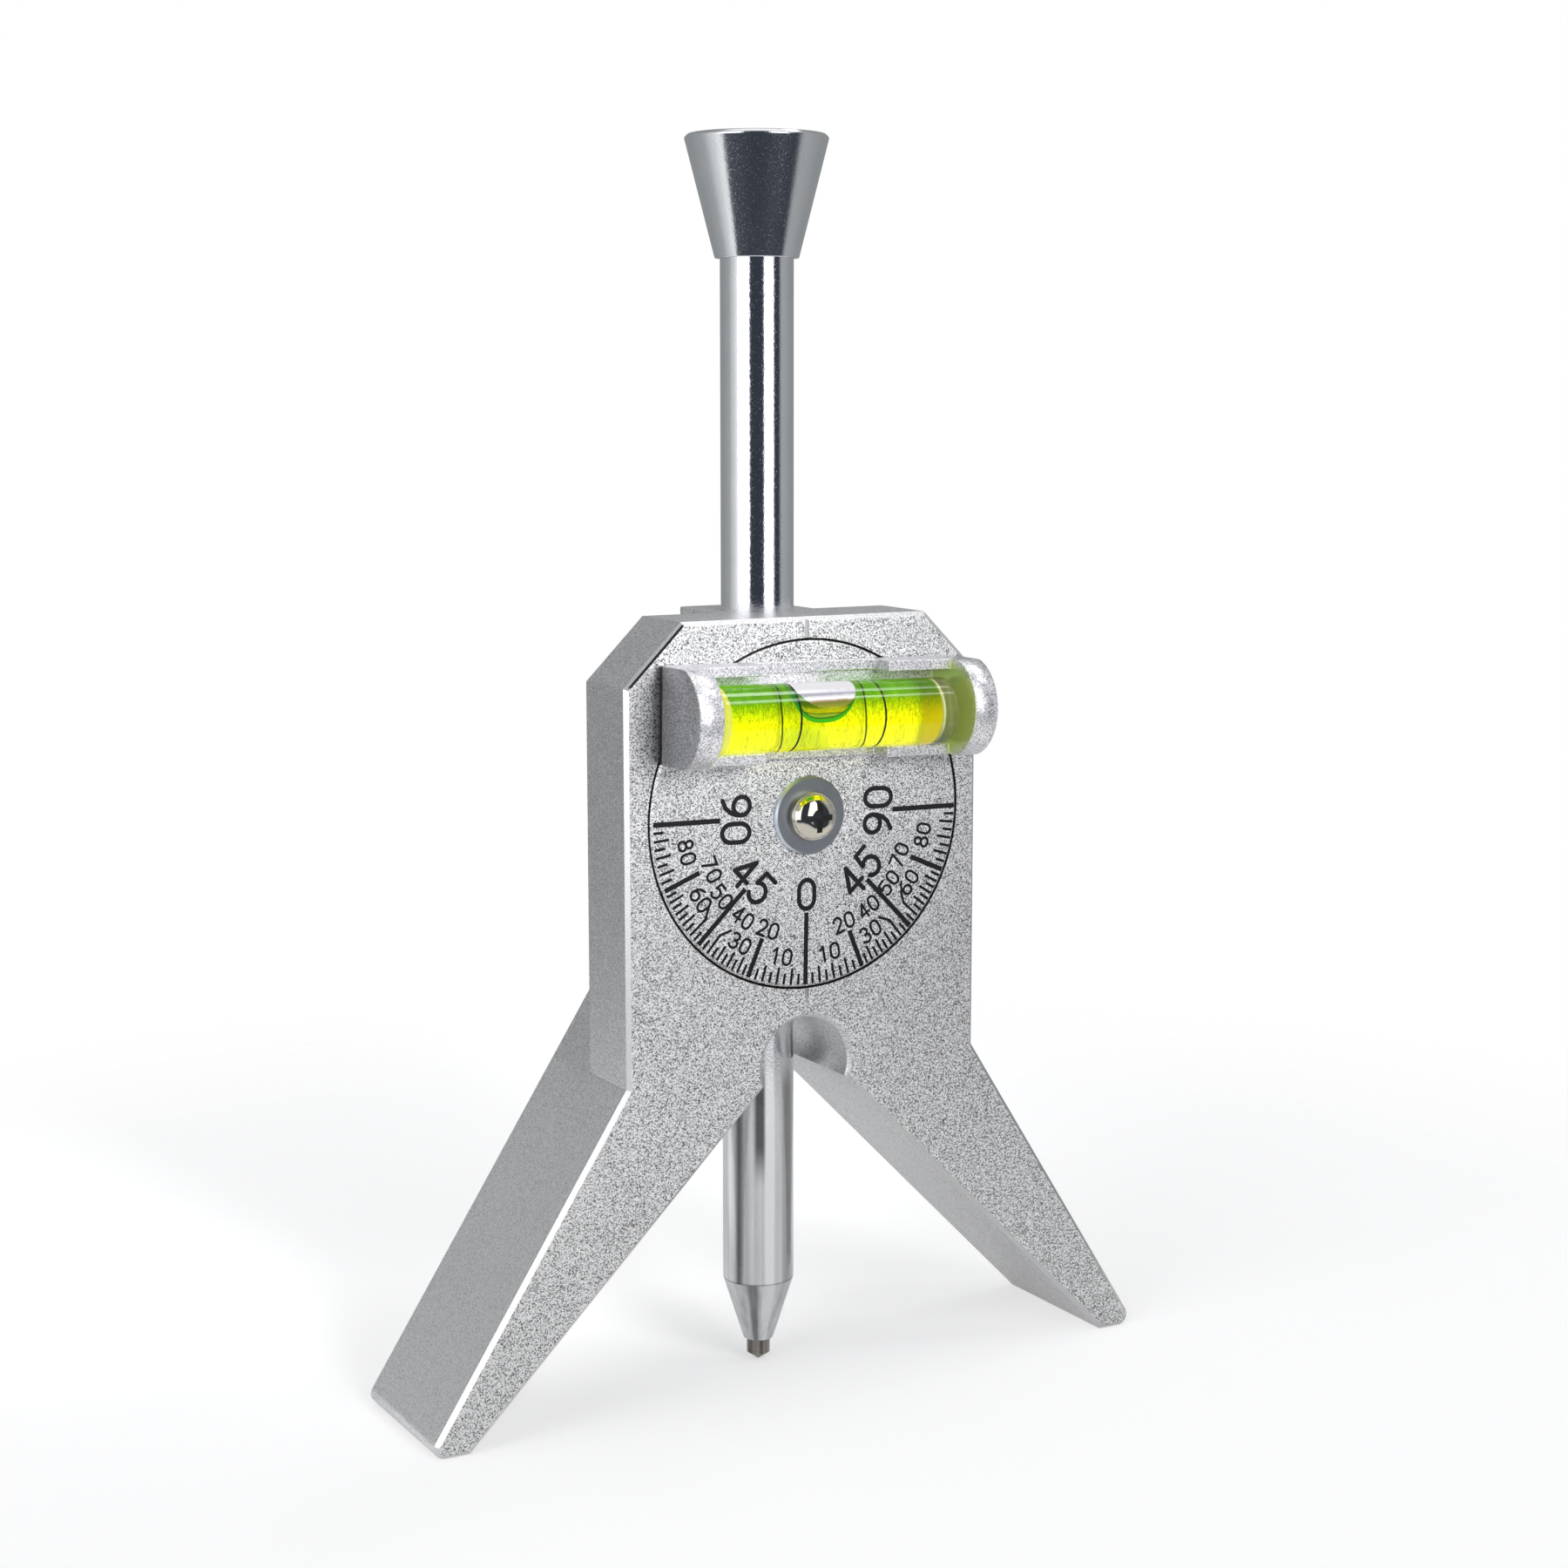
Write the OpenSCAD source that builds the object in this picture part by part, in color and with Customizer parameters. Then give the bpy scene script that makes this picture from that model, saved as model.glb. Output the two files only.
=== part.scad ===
// Pipe center finder: a V-shaped head stands on a pipe, its dial and level set
// the angle, and a punch that slides in the head marks the pipe's centre line.
// The origin is where the punch marks, level with the feet. The dial faces -Y.

/* [Head] */
// Height of the head above its feet
head_h = 91; // [84:0.5:110]
// Depth of the head, front to back
head_d = 20; // [18:0.5:26]
// Thickness of the plate that carries the dial
plate_t = 10; // [8:0.5:12]
// Wall beside the dial's recess
side_rim = 2.75; // [1.5:0.25:6]
// Wall above the dial's recess
top_rim = 2.5; // [1.5:0.25:6]
// Chamfer on the plate's top corners
chamfer = 7.1; // [4:0.1:9]
// Height at which each leg leaves the plate's side
shoulder_z = 38.8; // [34:0.2:44]
// Width across the feet, to the corners before rounding
foot_span = 95.3; // [86:0.1:104]
// Width of each foot's sole
foot_w = 5.25; // [4:0.25:8]
// Round on the outer corner of each foot
foot_r = 1.25; // [0.5:0.25:2]
// Angle of the V between the legs
v_angle = 90; // [86:1:96]
// Radius of the arch at the top of the V
arch_r = 5.7; // [5:0.1:7]
// Depth of the arch's centre below the point of the V
arch_drop = 3.45; // [2.5:0.05:4]
// Width of the boss that guides the punch
boss_w = 13; // [11:0.5:16]
// Round on the boss's back corners
boss_r = 1.5; // [0.5:0.25:2]
// Bevel round the front of the head
bevel = 0.5; // [0.2:0.1:1]
// Width of the witness line above and below the dial
witness_w = 0.5; // [0.3:0.1:0.8]

/* [Dial] */
// Diameter of the dial
dial_d = 40; // [36:0.5:44]
// Thickness of the dial
dial_t = 2.25; // [1.5:0.25:4]
// Height of the dial's face in front of the head, so that the level clears it
dial_proud = 0.25; // [0.1:0.05:0.5]
// Gap between the dial's rim and its recess
dial_gap = 0.15; // [0.1:0.05:0.4]
// Bevel on the dial's front edge
dial_bevel = 0.3; // [0.1:0.05:0.5]
// Turn of the dial as photographed, clockwise from the front
dial_set = 0.9; // [-5:0.1:5]
// Depth of the engraved lines
line_depth = 0.15; // [0.1:0.05:0.3]
// Distance of the scale's outer ends from the dial's rim
scale_edge = 0.25; // [0.2:0.05:0.5]
// Length of a short graduation
short_l = 1.35; // [1:0.05:1.6]
// Length of a long graduation
long_l = 1.95; // [1.7:0.05:2.5]
// Length of the lines where the scale's spacing changes
middle_l = 4.75; // [3:0.25:6]
// Length of the lines at level, half way and upright
main_l = 8.45; // [7:0.05:9]
// Width of a graduation
graduation_w = 0.3; // [0.2:0.05:0.4]
// Width of the longer lines
main_w = 0.55; // [0.4:0.05:0.8]
// Length of the bent leaders beside half way
leader_l = 1.6; // [1:0.1:2]

/* [Dial screw and washers] */
// Diameter of the dial screw's shank
screw_d = 3; // [2:0.5:4]
// Length of the shank under the head
screw_l = 6; // [5:0.5:7]
// Diameter of the screw's head
screw_head_d = 5.8; // [5:0.1:6.5]
// Height of the screw's head
screw_head_h = 2.2; // [2.1:0.1:2.6]
// Round from the screw head's side to its small flat top
screw_head_r = 1.9; // [1:0.1:2]
// Length of the cross recess
cross_l = 3.4; // [2.4:0.1:3.6]
// Width of the cross recess
cross_w = 0.7; // [0.5:0.05:0.9]
// Depth of the cross recess
cross_t = 1.3; // [0.8:0.1:1.5]
// Diameter of the washer under the screw's head
washer_d = 9; // [7.5:0.5:11]
// Thickness of that washer
washer_t = 0.6; // [0.4:0.1:1]
// Bevel on the washer's front edge
washer_bevel = 0.2; // [0.1:0.05:0.3]
// Diameter of the friction washer behind the dial
friction_d = 16; // [12:0.5:24]
// Thickness of the friction washer
friction_t = 0.5; // [0.3:0.1:0.8]

/* [Level] */
// Length of the holder
holder_l = 38.1; // [36:0.1:42]
// Height of the holder
holder_h = 11; // [10:0.1:12]
// Radius of the holder's round front
holder_r = 5.75; // [5.6:0.05:6.2]
// Distance of the round front's centre in front of the dial's face
holder_out = 4.2; // [3.9:0.05:4.6]
// Height of the holder's middle above the dial's centre
holder_z = 12.25; // [11:0.05:14]
// Thickness of each end of the holder
end_t = 3; // [2:0.25:3.5]
// Height of the channel that the tube lies in
channel_h = 8.6; // [8:0.1:9]
// Floor of the channel, behind the tube
floor_t = 0.4; // [0.3:0.1:0.8]
// Height of the rails beside the channel, from the dial's face
rail_out = 4.35; // [3:0.05:4.6]
// Height of the low strips between the rails, from the dial's face
strip_out = 1.2; // [0.9:0.1:2]
// Length of the low strips, which open the tube's middle to view
window_l = 15.7; // [13:0.1:18]
// Diameter of the clear tube
tube_d = 7.7; // [7:0.1:8]
// Gap between the tube and each end of the holder
tube_clear = 1.05; // [0.3:0.05:2]
// Wall of the tube
tube_wall = 0.35; // [0.3:0.05:0.6]
// Gap between the tube and the channel that it is bonded into
seat_gap = 0.05; // [0.02:0.01:0.08]
// Wall that closes the tube at its left end
tube_end = 1; // [0.6:0.1:2]
// Length of the plug at its right end
plug_l = 2; // [1.5:0.1:3]
// Distance between the rings
ring_span = 10.86; // [10:0.02:12]
// Width of a ring
ring_w = 0.2; // [0.15:0.05:0.4]
// Thickness of a ring
ring_t = 0.15; // [0.1:0.05:0.25]
// Length of the bubble
bubble_l = 8; // [6:0.5:9]
// Depth of the bubble below the tube's axis
bubble_depth = 0.5; // [0:0.1:1]
// Place of the bubble along the level, to the left of its middle
bubble_shift = 1.4; // [0:0.1:2]
// Gap between the bubble and the liquid
bubble_gap = 0.15; // [0.1:0.05:0.3]

/* [Punch] */
// Distance of the punch's axis behind the front of the head
punch_back = 11.8; // [11.2:0.1:13]
// Diameter of the punch's shank
shank_d = 8.5; // [7.5:0.1:9]
// Gap between the shank and its bore, on the radius
shank_gap = 0.05; // [0.02:0.01:0.1]
// Length of the shank that shows above the head
shank_out = 40.3; // [30:0.5:60]
// Height above the mark at which the taper starts
taper_z = 10.5; // [9:0.1:14]
// Height above the mark at which the taper ends
nose_z = 2.8; // [2:0.1:4]
// Diameter of the shank's end
nose_d = 3.56; // [3.2:0.02:4.5]
// Diameter of the hard tip
tip_d = 2.78; // [2:0.02:3]
// Height of the tip's point
point_h = 0.96; // [0.6:0.02:1.4]
// Length of the tip that is pressed into the shank
tip_seat = 6; // [4:0.5:8]
// Height of the punch's head
knob_h = 13.9; // [10:0.1:18]
// Diameter of the punch's head where it meets the shank
knob_neck_d = 9.7; // [9.2:0.1:11]
// Diameter of the punch's head at the struck end
knob_top_d = 16.6; // [14:0.1:20]
// Broken edge round the struck end
knob_edge = 0.4; // [0.2:0.1:1]
// Diameter of the spigot that carries the punch's head
spigot_d = 6; // [4:0.5:7]
// Length of that spigot
spigot_l = 9; // [6:0.5:9.5]

/* [Hidden] */

// Overrun of each cut past the face that it opens
overrun = 1;
// Gap round what is bonded or screwed into its hole, on the radius
fixed_gap = 0.02;
// Gap between the dial or a washer and the screw's shank, on the radius
screw_gap = 0.05;

front_y = -punch_back;
plate_back_y = front_y + plate_t;
head_back_y = front_y + head_d;
recess_r = dial_d / 2 + dial_gap;
recess_depth = dial_t - dial_proud + friction_t;
plate_hw = recess_r + side_rim;
dial_z = head_h - top_rim - recess_r;
boss_hw = boss_w / 2;
foot_hw = foot_span / 2;
v_hw = foot_hw - foot_w;
v_top_z = v_hw / tan(v_angle / 2);
arch_z = v_top_z - arch_drop;
leg_lean = (foot_hw - plate_hw) / shoulder_z;
leg_angle = atan(1 / leg_lean);
leg_top_z = (foot_hw - boss_hw) / leg_lean;

screw_r = screw_d / 2;
washer_y = -dial_proud - washer_t;
tapped_depth = screw_l - washer_t - dial_t - friction_t + screw_gap * 2;

dial_y = -dial_proud;
holder_y = dial_y - holder_out;
inner_hw = holder_l / 2 - end_t;
// The tube lies on the channel's floor and on its lower wall
tube_r = tube_d / 2;
tube_hl = inner_hw - tube_clear;
tube_y = dial_y - floor_t - seat_gap - tube_r;
tube_z = holder_z - channel_h / 2 + seat_gap + tube_r;
chamber_r = tube_r - tube_wall;
chamber_left = -tube_hl + tube_end;
chamber_right = tube_hl - plug_l;
ring_r = chamber_r - fixed_gap;
liquid_r = ring_r - ring_t - fixed_gap;
// The bubble is as round as it is long, and cut off by the top of the chamber
bubble_r = bubble_l / 2;
bubble_side_r = liquid_r - bubble_gap;
bubble_z = bubble_r - bubble_depth;

shank_r = shank_d / 2;
bore_r = shank_r + shank_gap;
knob_z = head_h + shank_out;

// The plate, anticlockwise from its lower right corner, which lies inside the leg
plate_low_z = shoulder_z - side_rim;
plate_outline = [
    [plate_hw, plate_low_z], [plate_hw, head_h - chamfer], [plate_hw - chamfer, head_h],
    [chamfer - plate_hw, head_h], [-plate_hw, head_h - chamfer], [-plate_hw, plate_low_z]
];
// The legs before the V is cut, whose outer sides run on up to the boss
leg_outline = [[-foot_hw, 0], [foot_hw, 0], [boss_hw, leg_top_z], [-boss_hw, leg_top_z]];

// Places on the scale: it is labelled in degrees, wider apart near level and upright
scale_step = 2.5;
scale_label = 5;
scale_end = 90;
scale_half = 45;
scale_bends = [20, 70];
bend_angles = [22.5, 67.5];
leader_marks = [40, 50];
leader_turn = 32;

function scale_angle(v) =
    v <= scale_bends[0] ? v * bend_angles[0] / scale_bends[0]
    : v <= scale_bends[1] ? bend_angles[0]
        + (v - scale_bends[0]) * (bend_angles[1] - bend_angles[0]) / (scale_bends[1] - scale_bends[0])
    : bend_angles[1]
        + (v - scale_bends[1]) * (scale_end - bend_angles[1]) / (scale_end - scale_bends[1]);

// Extrudes a front view backwards from one depth to another
module facing(y0, y1) {
    translate([0, y1, 0]) rotate([90, 0, 0]) linear_extrude(y1 - y0) children();
}

// Turns what is drawn round the dial's axis to where the dial is set
module on_dial() {
    translate([0, front_y, dial_z]) rotate([0, dial_set, 0]) children();
}

// A cylinder along Y, from one depth to another
module round_y(y0, y1, r) {
    translate([0, y1, 0]) rotate([90, 0, 0]) cylinder(h = y1 - y0, r = r, $fn = 96);
}

// A cylinder along X, from one place to another
module round_x(x0, x1, r) {
    translate([x0, 0, 0]) rotate([0, 90, 0]) cylinder(h = x1 - x0, r = r, $fn = 64);
}

// Cuts a bevel along one straight front edge, with its ends run over by the given lengths
module edge_bevel(p, q, before, after) {
    turn = atan2(q[1] - p[1], q[0] - p[0]);
    length = norm(q - p);
    translate([0, front_y, 0]) rotate([90, 0, 0]) translate([p[0], p[1], 0]) rotate([0, 0, turn])
        translate([-before, 0, 0]) rotate([90, 0, 90]) linear_extrude(before + length + after)
            polygon([[bevel + overrun, overrun], [-overrun, overrun], [-overrun, -bevel - overrun]]);
}

// A front view from the front back to one depth, with the given edges bevelled
module bevelled(y1, outline, edges) {
    n = len(outline);
    difference() {
        facing(front_y, y1) polygon(outline);
        for (i = edges) edge_bevel(outline[i], outline[(i + 1) % n], overrun, overrun);
    }
}

// The V between the legs, with its bevel, and the arch at its top
module v_cut() {
    low_hw = v_hw + overrun * tan(v_angle / 2);
    facing(front_y - overrun, head_back_y + overrun)
        polygon([[-low_hw, -overrun], [low_hw, -overrun], [0, v_top_z]]);
    edge_bevel([-v_hw, 0], [0, v_top_z], overrun, 0);
    edge_bevel([0, v_top_z], [v_hw, 0], 0, overrun);
    translate([0, 0, arch_z]) {
        round_y(front_y - overrun, head_back_y + overrun, arch_r);
        translate([0, front_y + bevel, 0]) rotate([90, 0, 0])
            cylinder(h = bevel + overrun, r1 = arch_r, r2 = arch_r + bevel + overrun, $fn = 96);
    }
}

// What is cut from the outer corner of the right foot to round it
module foot_corner() {
    reach = foot_r / tan(leg_angle / 2);
    lean = [-cos(leg_angle), sin(leg_angle)];
    difference() {
        facing(front_y - overrun, head_back_y + overrun) polygon([
            [foot_hw - reach, -overrun], [foot_hw + overrun, -overrun],
            [foot_hw + overrun, reach * lean[1]], [foot_hw + reach * lean[0], reach * lean[1]],
            [foot_hw - reach, foot_r]
        ]);
        translate([foot_hw - reach, 0, foot_r]) {
            round_y(front_y + bevel, head_back_y + overrun * 2, foot_r);
            translate([0, front_y + bevel, 0]) rotate([90, 0, 0])
                cylinder(h = bevel, r1 = foot_r, r2 = foot_r - bevel, $fn = 96);
        }
    }
}

// The boss behind the plate, with its back corners rounded
module boss() {
    translate([0, 0, arch_z]) linear_extrude(head_h - arch_z) {
        translate([-boss_hw, front_y + plate_t / 2])
            square([boss_w, head_d - plate_t / 2 - boss_r]);
        translate([boss_r - boss_hw, front_y + plate_t / 2])
            square([boss_w - boss_r * 2, head_d - plate_t / 2]);
        for (s = [-1, 1])
            translate([s * (boss_hw - boss_r), head_back_y - boss_r]) circle(r = boss_r, $fn = 48);
    }
}

module head() {
    color("gainsboro") difference() {
        union() {
            bevelled(plate_back_y, plate_outline, [0 : 4]);
            bevelled(head_back_y, leg_outline, [0, 1, 3]);
            boss();
        }
        v_cut();
        for (s = [0, 1]) mirror([s, 0, 0]) foot_corner();
        translate([0, 0, arch_z]) cylinder(h = head_h - arch_z + overrun, r = bore_r, $fn = 96);
        translate([0, 0, dial_z]) {
            round_y(front_y - overrun, front_y + recess_depth, recess_r);
            round_y(front_y, front_y + recess_depth + tapped_depth, screw_r + fixed_gap);
        }
        translate([-witness_w / 2, front_y - overrun, arch_z])
            cube([witness_w, overrun + line_depth, head_h - arch_z + overrun]);
    }
}

module friction_washer() {
    color("whitesmoke") translate([0, front_y, dial_z]) difference() {
        round_y(dial_t - dial_proud, recess_depth, friction_d / 2);
        round_y(-overrun, recess_depth + overrun, screw_r + screw_gap);
    }
}

// An engraved line on the dial, from one radius to another, at an angle from straight down
module radial_line(angle, r0, r1, w) {
    rotate([0, -angle, 0]) translate([-w / 2, dial_y - overrun, -r1])
        cube([w, overrun + line_depth, r1 - r0]);
}

// The bent leader that joins a crowded graduation to its number
module leader(angle, turn) {
    r = dial_d / 2 - scale_edge - long_l - graduation_w * 2;
    radial_line(angle, r, dial_d / 2 - scale_edge - short_l, graduation_w);
    rotate([0, -angle, 0]) translate([0, 0, -r]) rotate([0, turn, 0])
        translate([-graduation_w / 2, dial_y - overrun, 0])
            cube([graduation_w, overrun + line_depth, leader_l]);
}

module scale_lines() {
    scale_r = dial_d / 2 - scale_edge;
    for (v = [0 : scale_step : scale_end], s = [-1, 1]) {
        main = v == 0 || v == scale_half || v == scale_end;
        middle = v == scale_bends[0] || v == scale_bends[1];
        length = main ? main_l : middle ? middle_l : v % scale_label == 0 ? long_l : short_l;
        if (v > 0 || s > 0)
            radial_line(s * scale_angle(v), scale_r - length, scale_r,
                main || middle ? main_w : graduation_w);
    }
    for (s = [-1, 1]) {
        leader(s * scale_angle(leader_marks[0]), -s * leader_turn);
        leader(s * scale_angle(leader_marks[1]), s * leader_turn);
    }
}

module dial() {
    color("silver") on_dial() difference() {
        union() {
            round_y(dial_y + dial_bevel, dial_y + dial_t, dial_d / 2);
            translate([0, dial_y + dial_bevel, 0]) rotate([90, 0, 0])
                cylinder(h = dial_bevel, r1 = dial_d / 2, r2 = dial_d / 2 - dial_bevel, $fn = 96);
        }
        round_y(dial_y - overrun, dial_y + dial_t + overrun, screw_r + screw_gap);
        scale_lines();
    }
}

module dial_washer() {
    color("lightsteelblue") translate([0, front_y, dial_z]) difference() {
        union() {
            round_y(washer_y + washer_bevel, dial_y, washer_d / 2);
            translate([0, washer_y + washer_bevel, 0]) rotate([90, 0, 0])
                cylinder(h = washer_bevel, r1 = washer_d / 2, r2 = washer_d / 2 - washer_bevel, $fn = 96);
        }
        round_y(washer_y - overrun, dial_y + overrun, screw_r + screw_gap);
    }
}

// A domed pan head with a cross recess, on a plain shank
module dial_screw() {
    flat_r = screw_head_d / 2 - screw_head_r;
    color("silver") translate([0, front_y + washer_y, dial_z]) rotate([90, 0, 0]) difference() {
        union() {
            translate([0, 0, -screw_l]) cylinder(h = screw_l, r = screw_r, $fn = 48);
            rotate_extrude($fn = 64) {
                square([flat_r, screw_head_h]);
                square([screw_head_d / 2, screw_head_h - screw_head_r]);
                translate([flat_r, screw_head_h - screw_head_r]) intersection() {
                    circle(r = screw_head_r, $fn = 48);
                    square(screw_head_r);
                }
            }
        }
        for (a = [0, 90])
            rotate([0, 0, a]) translate([-cross_l / 2, -cross_w / 2, screw_head_h - cross_t])
                cube([cross_l, cross_w, cross_t + overrun]);
    }
}

// The bar that the holder is cut from: flat back, top and bottom, round front
module holder_bar() {
    translate([0, 0, holder_z]) intersection() {
        union() {
            translate([0, holder_y, 0]) round_x(-holder_l / 2, holder_l / 2, holder_r);
            translate([-holder_l / 2, holder_y, -holder_r]) cube([holder_l, holder_out, holder_r * 2]);
        }
        translate([-holder_l / 2, holder_y - holder_r, -holder_h / 2])
            cube([holder_l, holder_out + holder_r, holder_h]);
    }
}

// What is milled from the bar's front, leaving the given height above the dial's face
module holder_cut(length, height, above) {
    cut_y = holder_y - holder_r - overrun;
    translate([-length / 2, cut_y, holder_z - height / 2])
        cube([length, dial_y - above - cut_y, height]);
}

module vial_holder() {
    color("gainsboro") on_dial() difference() {
        holder_bar();
        holder_cut(inner_hw * 2, holder_h + overrun * 2, rail_out);
        holder_cut(window_l, holder_h + overrun * 2, strip_out);
        holder_cut(inner_hw * 2, channel_h, floor_t);
    }
}

// Places what is drawn along the tube's axis
module on_tube() {
    on_dial() translate([0, tube_y, tube_z]) children();
}

module vial_tube() {
    color("honeydew", 0.5) on_tube() difference() {
        round_x(-tube_hl, tube_hl, tube_r);
        round_x(chamber_left, tube_hl + overrun, chamber_r);
    }
}

module vial_plug() {
    color("khaki") on_tube() round_x(chamber_right + fixed_gap, tube_hl, chamber_r - fixed_gap);
}

// The liquid, with a channel along its top that the bubble runs in
module vial_liquid() {
    x0 = chamber_left + fixed_gap;
    x1 = chamber_right - fixed_gap;
    color("greenyellow", 0.7) on_tube() difference() {
        round_x(x0, x1, liquid_r);
        translate([0, 0, bubble_z]) round_x(x0 - overrun, x1 + overrun, bubble_r + bubble_gap);
    }
}

module ring(x) {
    color("black") on_tube() difference() {
        round_x(x - ring_w / 2, x + ring_w / 2, ring_r);
        round_x(x - ring_w, x + ring_w, ring_r - ring_t);
    }
}

module ring_left() {
    ring(-ring_span / 2);
}

module ring_right() {
    ring(ring_span / 2);
}

module vial_bubble() {
    color("honeydew", 0.5) on_tube() translate([-bubble_shift, 0, 0]) intersection() {
        round_x(-bubble_r, bubble_r, bubble_side_r);
        translate([0, 0, bubble_z]) sphere(r = bubble_r, $fn = 64);
    }
}

// The shank with its tapered nose, its socket for the tip and its spigot
module punch_shank() {
    color("silver") difference() {
        union() {
            translate([0, 0, nose_z])
                cylinder(h = taper_z - nose_z, r1 = nose_d / 2, r2 = shank_r, $fn = 96);
            translate([0, 0, taper_z]) cylinder(h = knob_z - taper_z, r = shank_r, $fn = 96);
            translate([0, 0, knob_z]) cylinder(h = spigot_l, r = spigot_d / 2 - fixed_gap, $fn = 64);
        }
        translate([0, 0, nose_z - overrun])
            cylinder(h = tip_seat + overrun, r = tip_d / 2 + fixed_gap, $fn = 64);
    }
}

module punch_head() {
    color("silver") difference() {
        translate([0, 0, knob_z]) rotate_extrude($fn = 96) polygon([
            [0, 0], [knob_neck_d / 2, 0],
            [knob_top_d / 2, knob_h - knob_edge], [knob_top_d / 2 - knob_edge, knob_h], [0, knob_h]
        ]);
        translate([0, 0, knob_z - overrun])
            cylinder(h = spigot_l + overrun, r = spigot_d / 2, $fn = 64);
    }
}

module punch_tip() {
    color("dimgray") {
        cylinder(h = point_h, r1 = 0, r2 = tip_d / 2, $fn = 64);
        translate([0, 0, point_h]) cylinder(h = nose_z + tip_seat - point_h, r = tip_d / 2, $fn = 64);
    }
}

head();
friction_washer();
dial();
dial_washer();
dial_screw();
vial_holder();
vial_tube();
vial_plug();
vial_liquid();
ring_left();
ring_right();
vial_bubble();
punch_shank();
punch_head();
punch_tip();
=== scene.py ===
import math

import bmesh
import bpy
from mathutils import Matrix, Vector
from mathutils.geometry import delaunay_2d_cdt

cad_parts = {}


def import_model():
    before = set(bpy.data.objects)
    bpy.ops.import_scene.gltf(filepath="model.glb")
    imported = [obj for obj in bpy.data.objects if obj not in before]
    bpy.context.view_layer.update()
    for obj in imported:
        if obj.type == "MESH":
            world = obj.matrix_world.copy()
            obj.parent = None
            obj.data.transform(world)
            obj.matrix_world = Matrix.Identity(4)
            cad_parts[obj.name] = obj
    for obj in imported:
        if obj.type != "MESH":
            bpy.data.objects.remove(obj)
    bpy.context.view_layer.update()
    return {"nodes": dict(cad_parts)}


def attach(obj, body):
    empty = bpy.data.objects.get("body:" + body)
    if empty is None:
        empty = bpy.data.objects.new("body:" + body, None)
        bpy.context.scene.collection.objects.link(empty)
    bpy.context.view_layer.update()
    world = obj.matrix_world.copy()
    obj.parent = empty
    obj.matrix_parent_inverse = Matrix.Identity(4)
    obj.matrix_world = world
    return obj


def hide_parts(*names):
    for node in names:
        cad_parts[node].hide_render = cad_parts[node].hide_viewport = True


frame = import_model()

# Sizes are in millimetres, as in the solids, and go into meshes times MM
MM = 0.001
TINY = 1e-6

# The camera, solved from the photograph's edges
VIEW_FROM = Vector((-153.58, -283.18, 116.81)) * MM
VIEW_ALONG = Vector((0.4803, 0.8655, -0.1426))
VIEW_AZIMUTH = -29.03
LENS, SENSOR = 63.43, 36
CLIP_NEAR, CLIP_FAR = 0.01, 20

# A lamp before the dial: its place, what it is turned to, its size, spread and power in watts
LAMP_AT, LAMP_TO = (5, -95, 112), (-8, -12, 100)
LAMP_SIZE, LAMP_SPREAD, LAMP_POWER = 40, 75, 0.084

# The studio's parts by their angles: across from the camera's side, and up from the horizon
ROOM, ROOM_EDGE = (0.035, 0.042, 0.058, 1), (72, 84)
WALL, WALL_FAR, WALL_FADE = (0.385, 0.395, 0.40, 1), (0.285, 0.295, 0.30, 1), (80, 140)
SPILL = (0.90, 0.91, 0.92, 1)
SPILL_OUTER, SPILL_INNER, SPILL_UP = (-100, -62), (-54, -60), (-65, 50)
CEILING, CEILING_EDGE = (1, 1, 1, 1), (56, 74)
# Soft boxes: from and to across, from and to upwards, and how bright
BOXES = ((-62, -23, -12, 50, 1.7), (23, 54, -12, 50, 1.7),
         (72, 92, 50, 56, 8.0), (120, 146, 57, 63, 8.0))
BOX_BLUE = 1.02
SOFT_ACROSS, SOFT_UP = 2.0, 3.0

# The floor: its radius, where it fades, and how much light it adds for the camera and in mirrors
FLOOR_R, FLOOR_FADE, FLOOR_COLOUR = 240, (125, 215), (0.7, 0.7, 0.7, 1)
FLOOR_SEEN, FLOOR_MIRRORED = 0.5, 0.22

# Head
FRONT_Y = -11.8
WITNESS_W = 0.5
BEVEL = 0.5
RECESS_DEEP = 4
PLATE_HW, SHOULDER_Z = 22.9, 38.8
CORNER_X, CORNER_Z = -15.6, 84
ARCH_HW, ARCH_LOW, ARCH_HIGH = 7.5, 34, 47

# Dial, in its own frame: x right, y back from the head's front, z up from its centre
DIAL_Z = 68.35
DIAL_TURN = 0.9
DIAL_R = 20
DIAL_T = 2.25
DIAL_FACE = -0.25
DIAL_BEVEL = 0.3
SCREW_HOLE_R = 1.55
WASHER_R = 4.5
RIM_SIDES, HOLE_SIDES = 360, 64
LINE_DEPTH = 0.15
LINE_LIP = 0.03
SCALE_R = 19.75
SHORT, LONG, MIDDLE, MAIN = 1.35, 1.95, 4.75, 8.45
THIN, THICK = 0.32, 0.58
LEADER_R, LEADER_L, LEADER_TURN = 17.2, 1.6, 32
# The scale's lines stand closer together between these two marks
LINE_STEP = 2.5
CLOSE_FROM, CLOSE_TO, CLOSE_STEP = 20, 70, 0.9
CLOSE_FROM_ANGLE = 22.5

# Level, along the tube's axis in the dial's frame
TUBE_Y, TUBE_Z = -4.55, 11.85
TUBE_R, TUBE_HL, TUBE_ROUND = 3.85, 15, 0.3
HOLDER_HW, INNER_HW = 19.05, 16.05
CHAMBER_R, CHAMBER_LEFT, CHAMBER_RIGHT = 3.5, -14, 13
PLUG_GAP, PLUG_ROUND, PLUG_EDGE = 0.02, 0.35, 0.1
TUBE_IOR = 1.42
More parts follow.
